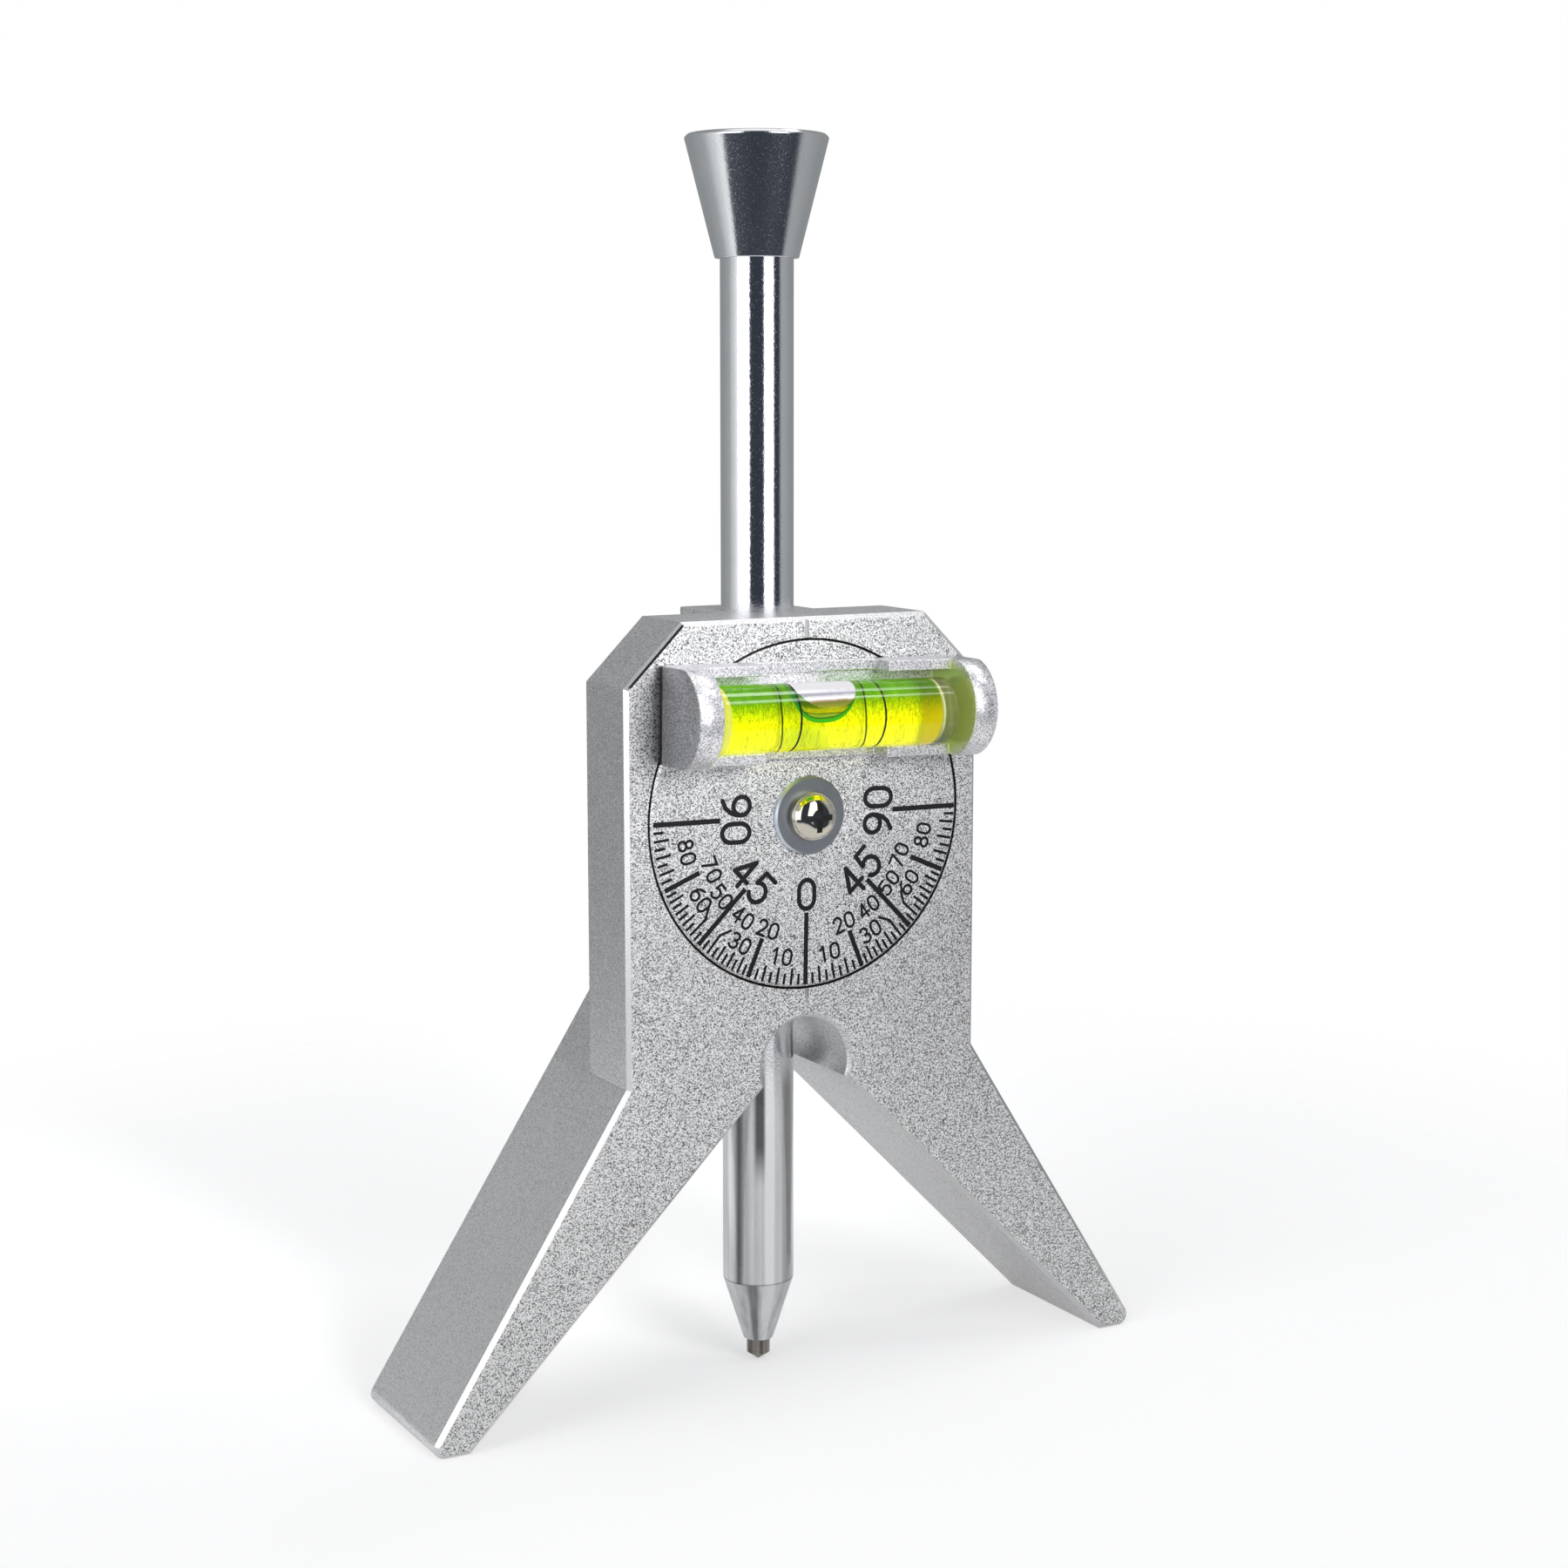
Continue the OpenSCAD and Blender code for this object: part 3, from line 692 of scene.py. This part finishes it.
def bar(start, direction, length, width):
    side = Vector((-direction.y, direction.x)) * width / 2
    end = start + direction * length
    return [start - side, end - side, end + side, start + side]


def turned(v, angle):
    c, s = math.cos(angle), math.sin(angle)
    return Vector((v[0] * c - v[1] * s, v[0] * s + v[1] * c))


def scale_angle(v):
    """Degrees from straight down for a place on the scale, which is wider near its ends."""
    if v <= CLOSE_FROM:
        return v * CLOSE_FROM_ANGLE / CLOSE_FROM
    if v <= CLOSE_TO:
        return CLOSE_FROM_ANGLE + (v - CLOSE_FROM) * CLOSE_STEP
    return 90 - CLOSE_FROM_ANGLE + (v - CLOSE_TO) * CLOSE_FROM_ANGLE / CLOSE_FROM


def scale_lines():
    """The scale's lines, and the bent leaders from its 40 and 50 to their numbers."""
    quads = []
    for i in range(int(90 / LINE_STEP) + 1):
        v = i * LINE_STEP
        length, width = SHORT, THIN
        if v % 5 == 0:
            length = LONG
        if v in (20, 70):
            length, width = MIDDLE, THICK
        if v in (0, 45, 90):
            length, width = MAIN, THICK
        for s in (-1, 1) if v else (1,):
            up = turned((0, 1), math.radians(s * scale_angle(v)))
            quads.append(bar(-up * SCALE_R, up, length, width))
    for mark, way in ((40, 1), (50, -1)):
        for s in (-1, 1):
            angle = math.radians(s * scale_angle(mark))
            up = turned((0, 1), angle)
            lean = turned((0, 1), angle + math.radians(s * way * LEADER_TURN))
            quads.append(bar(-up * (SCALE_R - SHORT), up, SCALE_R - SHORT - LEADER_R, THIN))
            quads.append(circle(THIN / 2, 12, *(-up * LEADER_R)))
            quads.append(bar(-up * LEADER_R, lean, LEADER_L, THIN))
    return quads


def arc(x, y, rx, ry, start, end, count=12):
    return [(x + rx * math.cos(math.radians(start + (end - start) * i / count)),
             y + ry * math.sin(math.radians(start + (end - start) * i / count)))
            for i in range(count + 1)]


# Digits as strokes on a cell 0.6 wide and 1 high
SIX = [arc(0.3, 0.3, 0.3, 0.3, 0, 360, 22),
       [(0, 0.3), (0.02, 0.5), (0.1, 0.7), (0.25, 0.88), (0.5, 1)]]
DIGITS = {
    "0": [arc(0.3, 0.66, 0.3, 0.34, 0, 180) + arc(0.3, 0.34, 0.3, 0.34, 180, 360) + [(0.6, 0.66)]],
    "1": [[(0.05, 0.8), (0.27, 1)], [(0.27, 1), (0.27, 0)]],
    "2": [arc(0.3, 0.71, 0.28, 0.29, 165, -38) + [(0, 0)], [(0, 0), (0.6, 0)]],
    "3": [arc(0.28, 0.76, 0.26, 0.24, 150, -90), arc(0.28, 0.26, 0.31, 0.26, 90, -155)],
    "4": [[(0.44, 0), (0.44, 1)], [(0.44, 1), (0, 0.3)], [(0, 0.3), (0.64, 0.3)]],
    "5": [[(0.55, 1), (0.1, 1)], [(0.1, 1), (0.05, 0.56)], arc(0.28, 0.33, 0.31, 0.33, 136, -145)],
    "6": SIX,
    "7": [[(0, 1), (0.6, 1)], [(0.6, 1), (0.2, 0)]],
    "8": [arc(0.3, 0.76, 0.24, 0.24, 0, 360, 20), arc(0.3, 0.26, 0.3, 0.26, 0, 360, 22)],
    "9": [[(0.6 - x, 1 - y) for x, y in stroke] for stroke in SIX],
}
# Height, stroke and pitch of the small numbers and the large ones
SMALL, LARGE = (2.08, 0.31, 1.55), (4.05, 0.55, 3.05)
# Number, angle from straight down, distance from the dial's centre, height, stroke, pitch
NUMBERS = [
    ("10", 11, 16.5, 2.08, 0.31, 1.42), ("20", 21.2, 13.8, *SMALL), ("30", 31.2, 16.6, *SMALL),
    ("40", 36.2, 14.0, *SMALL), ("50", 51.8, 14.0, *SMALL), ("60", 57.3, 16.25, *SMALL),
    ("70", 66, 13.5, *SMALL), ("80", 78, 15.8, *SMALL),
    ("0", 0, 9.2, 3.9, 0.55, 3.05), ("45", 45, 10.0, *LARGE), ("90", 90, 9.3, *LARGE),
]


def stroke_quads(points, width):
    """A stroke of even width along the points, in four-sided pieces with round ends."""
    quads = []
    points = [Vector(p) for p in points]
    closed = (points[0] - points[-1]).length < TINY
    if closed:
        points = points[:-1]
    n = len(points)
    sides = []
    for i, p in enumerate(points):
        before = (p - points[i - 1]).normalized() if closed or i else None
        after = (points[(i + 1) % n] - p).normalized() if closed or i < n - 1 else None
        along = ((before or after) + (after or before)).normalized()
        out = Vector((-along.y, along.x))
        stretch = 1 / max(0.5, along.dot(before or after))
        sides.append(out * stretch * width / 2)
    for i in range(n if closed else n - 1):
        j = (i + 1) % n
        quads.append([points[i] - sides[i], points[j] - sides[j],
                      points[j] + sides[j], points[i] + sides[i]])
    if not closed:
        for p in (points[0], points[-1]):
            quads.append(circle(width / 2, 16, *p))
    return quads


def number_quads(text, angle, r, height, stroke, pitch, side):
    quads = []
    tall = height - stroke
    turn = math.radians(side * angle)
    for i, digit in enumerate(text):
        left = (i - (len(text) - 1) / 2) * pitch - 0.3 * tall
        for line in DIGITS[digit]:
            points = [(left + x * tall, (y - 0.5) * tall - r) for x, y in line]
            for quad in stroke_quads(points, stroke):
                quads.append([turned(v, turn) for v in quad])
    return quads


def dial_mesh():
    """The dial with its scale and numbers engraved. Faces of material 1 are painted."""
    shapes = [circle(DIAL_R - DIAL_BEVEL, RIM_SIDES), circle(SCREW_HOLE_R, HOLE_SIDES)]
    shapes += scale_lines()
    for number in NUMBERS:
        for side in (-1, 1) if number[1] else (1,):
            shapes += number_quads(*number, side)
    points, loops = [], []
    for shape in shapes:
        loops.append(list(range(len(points), len(points) + len(shape))))
        points += shape
    points, _, tris, _, _, owners = delaunay_2d_cdt(points, [], loops, 1, 1e-5)

    bm = bmesh.new()
    levels = (DIAL_FACE, DIAL_FACE + LINE_LIP, DIAL_FACE + LINE_DEPTH)
    made = {}

    def vert(i, level):
        key = i, level
        if key not in made:
            made[key] = bm.verts.new((points[i].x, levels[level], points[i].y))
        return made[key]

    # The face lies in shape 0 and outside the hole, shape 1. It is deep where a later shape lies
    painted = {}
    for tri, owner in zip(tris, owners):
        if 0 not in owner or 1 in owner:
            continue
        deep = any(o > 1 for o in owner)
        for k in range(3):
            painted.setdefault((tri[k], tri[(k + 1) % 3]), deep)
        level = 2 if deep else 0
        bm.faces.new([vert(i, level) for i in tri]).material_index = 1 if deep else 0
    for (a, b), deep in painted.items():
        if deep and not painted.get((b, a), False):
            for low, high, paint in ((2, 1, 1), (1, 0, 0)):
                quad = [vert(b, low), vert(a, low), vert(a, high), vert(b, high)]
                bm.faces.new(quad).material_index = paint
    bmesh.ops.recalc_face_normals(bm, faces=bm.faces)

    def drop(edges, r, y):
        """Carries an open rim on to another radius and depth."""
        new = bmesh.ops.extrude_edge_only(bm, edges=edges)["geom"]
        for v in (g for g in new if isinstance(g, bmesh.types.BMVert)):
            flat = Vector((v.co.x, v.co.z)).normalized() * r
            v.co = (flat.x, y, flat.y)
        return [g for g in new if isinstance(g, bmesh.types.BMEdge)]

    open_edges = [e for e in bm.edges if e.is_boundary]
    rim = [e for e in open_edges if e.verts[0].co.length > DIAL_R / 2]
    hole = [e for e in open_edges if e.verts[0].co.length < DIAL_R / 2]
    rim = drop(rim, DIAL_R, DIAL_FACE + DIAL_BEVEL)
    rim = drop(rim, DIAL_R, DIAL_FACE + DIAL_T)
    hole = drop(hole, SCREW_HOLE_R, DIAL_FACE + DIAL_T)
    bmesh.ops.triangle_fill(bm, edges=rim + hole, use_beauty=True)
    bmesh.ops.recalc_face_normals(bm, faces=bm.faces)
    return bm


# The level's bubble

def bubble_mesh(around=96, along=64):
    """An air bubble that lies against the top of the chamber and sags below its middle. Its height
    is along x and its length along z."""
    half = BUBBLE_L / 2
    mid = half - BUBBLE_DROP
    bm = bmesh.new()
    rings = []
    for i in range(along + 1):
        x = -half * math.cos(math.pi * i / along)
        deep = half * max(1 - abs(x / half) ** BUBBLE_FULL, 0) ** (1 / BUBBLE_FULL)
        if deep < TINY:
            rings.append([bm.verts.new((mid, 0, x))])
            continue
        core = (mid - deep + min(BUBBLE_TOP, mid + deep)) / 2
        ring = []
        for k in range(around):
            a = math.tau * k / around
            d = Vector((math.cos(a), math.sin(a)))
            # Distance along d from the core to the bubble's own round and to the chamber's wall
            reach = []
            for centre, r in ((mid, deep), (0.0, BUBBLE_TOP)):
                off = core - centre
                b = off * d.x
                reach.append(-b + math.sqrt(max(b * b - off * off + r * r, 0)))
            gap = abs(reach[0] - reach[1])
            near = min(reach) - max(BUBBLE_SOFT - gap, 0) ** 2 / (4 * BUBBLE_SOFT)
            ring.append(bm.verts.new((core + d.x * near, d.y * near, x)))
        rings.append(ring)
    skin(bm, rings, around)
    # Placing the bubble swaps two axes, which turns the faces over once more
    bmesh.ops.reverse_faces(bm, faces=bm.faces)
    return bm


# The camera, the light and the floor

def camera():
    cam = bpy.data.objects.new("camera", bpy.data.cameras.new("camera"))
    cam.data.lens = LENS
    cam.data.sensor_width = SENSOR
    cam.data.clip_start = CLIP_NEAR
    cam.data.clip_end = CLIP_FAR
    cam.location = VIEW_FROM
    cam.rotation_mode = "QUATERNION"
    cam.rotation_quaternion = VIEW_ALONG.to_track_quat("-Z", "Y")
    bpy.context.collection.objects.link(cam)
    bpy.context.scene.camera = cam


def world():
    """A studio: two tall soft boxes before a dark room, grey walls behind, a pale ceiling with two
    narrow boxes, and plain white for the camera."""
    bpy.context.scene.view_settings.view_transform = "Standard"
    w = bpy.data.worlds.new("studio")
    bpy.context.scene.world = w
    w.use_nodes = True
    t = w.node_tree
    t.nodes.clear()
    out = node(t, "OutputWorld")
    x, y, z = xyz(t, node(t, "TexCoord").outputs["Generated"])
    degrees = 180 / math.pi
    across = maths(t, "ARCTAN2", x, times(t, y, -1.0))
    across = maths(t, "SUBTRACT", times(t, across, degrees), VIEW_AZIMUTH)
    up = times(t, maths(t, "ARCSINE", z), degrees)

    wide = maths(t, "ABSOLUTE", across)
    wall = blend_colour(t, smooth(t, wide, *WALL_FADE), WALL, WALL_FAR)
    level = blend_colour(t, smooth(t, wide, *ROOM_EDGE), ROOM, wall)
    # The light of the left box fades out on the wall beside it
    spill = times(t, smooth(t, across, *SPILL_OUTER), smooth(t, across, *SPILL_INNER),
                  between(t, up, *SPILL_UP, SOFT_UP))
    level = blend_colour(t, spill, level, SPILL)
    level = blend_colour(t, smooth(t, up, *CEILING_EDGE), level, CEILING)
    for left, right, bottom, top, bright in BOXES:
        share = times(t, between(t, across, left, right, SOFT_ACROSS),
                      between(t, up, bottom, top, SOFT_UP))
        level = blend_colour(t, share, level, (bright, bright, bright * BOX_BLUE, 1))
    seen = node(t, "LightPath").outputs["Is Camera Ray"]
    colour = blend_colour(t, seen, level, (1, 1, 1, 1))
    t.links.new(node(t, "Background", {0: colour, 1: 1.0}).outputs[0], out.inputs[0])


def lamp():
    """A lamp in front of the dial's top, so that the head is brighter there. Metal and the tube
    don't show it."""
    data = bpy.data.lights.new("lamp", "AREA")
    data.size = LAMP_SIZE * MM
    data.energy = LAMP_POWER
    data.spread = math.radians(LAMP_SPREAD)
    obj = bpy.data.objects.new("lamp", data)
    obj.location = Vector(LAMP_AT) * MM
    obj.rotation_mode = "QUATERNION"
    obj.rotation_quaternion = (Vector(LAMP_TO) - Vector(LAMP_AT)).to_track_quat("-Z", "Y")
    obj.visible_camera = False
    obj.visible_glossy = False
    obj.visible_transmission = False
    bpy.context.collection.objects.link(obj)


def floor():
    """A pale floor that fades into the white round it and keeps the object's shadow."""
    bm = bmesh.new()
    bmesh.ops.create_circle(bm, cap_ends=True, radius=FLOOR_R * MM, segments=96)
    mesh = bpy.data.meshes.new("floor")
    bm.to_mesh(mesh)
    bm.free()
    obj = bpy.data.objects.new("floor", mesh)
    bpy.context.collection.objects.link(obj)
    m, t, out = material("floor")
    where = place(t)
    grain = noise(t, where, 0.02)
    pale = node(t, "BsdfDiffuse", {0: FLOOR_COLOUR, 1: on_top(t, 0.5, grain, 0.02)})
    path = node(t, "LightPath").outputs
    lift = times(t, path["Is Camera Ray"], FLOOR_SEEN)
    lift = on_top(t, lift, path["Is Glossy Ray"], FLOOR_MIRRORED)
    lift = node(t, "Emission", {0: (1, 1, 1, 1), 1: lift})
    both = node(t, "AddShader", {0: pale.outputs[0], 1: lift.outputs[0]})
    far = times(t, smooth(t, vectors(t, "LENGTH", where)[1], *FLOOR_FADE),
                maths(t, "MAXIMUM", path["Is Camera Ray"], path["Is Glossy Ray"]))
    faded = mixed(t, far, both, node(t, "BsdfTransparent"))
    t.links.new(faded.outputs[0], out.inputs[0])
    mesh.materials.append(m)


# The CAD solids that stay, some with softened edges

def finish_node(name, mat, soft=False):
    obj = frame["nodes"][name]
    obj.data.materials.clear()
    obj.data.materials.append(mat)
    if soft:
        weld = obj.modifiers.new("weld", "WELD")
        weld.merge_threshold = TINY
        flat = obj.modifiers.new("flat", "DECIMATE")
        flat.decimate_type = "DISSOLVE"
        flat.angle_limit = FLAT
        edge = obj.modifiers.new("edge", "BEVEL")
        edge.width = SOFT_EDGE * MM
        edge.segments = SOFT_STEPS
        edge.limit_method = "ANGLE"
        edge.angle_limit = SHARP
        edge.harden_normals = True


def head():
    metal = blasted("head_aluminium", (0.76, 0.76, 0.765), contrast=1.9, calm=0.35,
                    shade=head_shade, cut=head_bevel)
    finish_node("head", metal, soft=True)
    metal = blasted("holder_aluminium", (0.74, 0.735, 0.77), contrast=1.1, rough=0.30,
                    shade=holder_shade, glow=level_glow)
    finish_node("vial_holder", metal, soft=True)
    # The washer has a painted highlight along its rim
    finish_node("dial_washer", polished("washer_steel", (0.31, 0.335, 0.365), 0.40, speckle=0.15,
                                        relief=0.004, tone=0.2, shade=washer_highlight))
    finish_node("dial_screw", polished("screw_nickel", (0.84, 0.79, 0.68), 0.05, 1.2))
    finish_node("friction_washer", matt("friction_nylon", (0.85, 0.84, 0.80), 0.6))


def dial():
    face = blasted("dial_aluminium", (0.74, 0.74, 0.745), contrast=1.9, shade=rim_shade)
    ink = matt("scale_black", (0.005, 0.005, 0.006), 0.85, 0.1, 0.3)
    mesh_piece("dial_plate", dial_mesh(), TO_DIAL, [face, ink], "dial", "dial_aluminium", "dial")


def level():
    acrylic = clear("level_tube", (0.97, 0.99, 0.93, 1), TUBE_IOR)
    tube = rounded([(0, -TUBE_HL), (TUBE_R, -TUBE_HL), (TUBE_R, TUBE_HL), (0, TUBE_HL)],
                   [0, TUBE_ROUND, TUBE_ROUND, 0])
    mesh_piece("level_tube", lathe(tube), TO_TUBE, [acrylic], "dial", "clear_acrylic", "vial_tube")
    fill = lathe([(0, CHAMBER_LEFT), (LIQUID_R, CHAMBER_LEFT),
                  (LIQUID_R, CHAMBER_RIGHT), (0, CHAMBER_RIGHT)])
    for face in fill.faces:
        ends = [round(v.co.z, 3) for v in face.verts]
        if max(ends) == min(ends):
            face.material_index = 1 if ends[0] < 0 else 2
    left_end = end_face("left_end", (0.95, 0.90, 0.45, 1), (0.9, 0.85, 0.1, 1), 0.7)
    right_end = end_face("right_end", (0.72, 0.50, 0.08, 1), (0.85, 0.70, 0.05, 1), 0.65)
    mesh_piece("level_fill", fill, TO_TUBE, [liquid(), left_end, right_end], "dial",
               "level_liquid", "vial_liquid")
    plug_r, inner, outer = CHAMBER_R - PLUG_GAP, CHAMBER_RIGHT + PLUG_GAP, TUBE_HL - 0.05
    plug = rounded([(0, inner), (plug_r, inner), (plug_r, outer), (0, outer)],
                   [0, PLUG_ROUND, PLUG_EDGE, 0])
    mesh_piece("level_plug", lathe(plug), TO_TUBE, [plug_plastic()], "dial", "plug_plastic",
               "vial_plug")
    to_bubble = TO_DIAL @ Matrix.Translation((BUBBLE_X, TUBE_Y, TUBE_Z))
    to_bubble = to_bubble @ Matrix(((0, 0, 1, 0), (0, 1, 0, 0), (1, 0, 0, 0), (0, 0, 0, 1)))
    mesh_piece("level_bubble", bubble_mesh(), to_bubble, [air()], "bubble", "bubble_air",
               "vial_bubble")
    black = matt("ring_black", (0.004, 0.008, 0.004), 0.8, 0.1, shine=0.0)
    for name in ("ring_left", "ring_right"):
        finish_node(name, black)


def punch():
    colour = (0.86, 0.875, 0.89)
    # The steel has painted reflections on its lower end
    steel = polished("punch_steel", colour, 0.08, 0.3, 0.3, tone=0.12, worn=(WORN_Z, 0.04, 0.9),
                     shade=painted_reflections)
    knob_steel = polished("knob_steel", colour, 0.16, 0.5, 0.25, tone=0.15)
    carbide = polished("tip_carbide", (0.40, 0.37, 0.34), 0.2, 0.2, tone=0.5, worn=(11, 0.0, 3.5))
    shank = rounded([(0, NOSE_Z), (NOSE_R, NOSE_Z), (SHANK_R, TAPER_Z), (SHANK_R, KNOB_Z),
                     (0, KNOB_Z)], [0, NOSE_ROUND, TAPER_ROUND, 0, 0])
    mesh_piece("punch_rod", lathe(shank), Matrix(), [steel], "punch", "punch_steel", "punch_shank")
    knob = rounded([(0, KNOB_Z), (KNOB_NECK_R, KNOB_Z), (KNOB_TOP_R, KNOB_TOP - KNOB_EDGE),
                    (KNOB_TOP_R - KNOB_EDGE, KNOB_TOP), (0, KNOB_TOP)],
                   [0, NECK_ROUND, KNOB_ROUND, KNOB_ROUND, 0])
    mesh_piece("punch_knob", lathe(knob), Matrix(), [knob_steel], "punch", "punch_steel",
               "punch_head")
    top = NOSE_Z + TIP_HIDDEN
    tip = rounded([(0, 0), (TIP_R, POINT_H), (TIP_R, top), (0, top)], [0, TIP_ROUND, 0, 0])
    mesh_piece("punch_point", lathe(tip, 96), Matrix(), [carbide], "punch", "tip_carbide",
               "punch_tip")


camera()
world()
lamp()
floor()
head()
dial()
level()
punch()
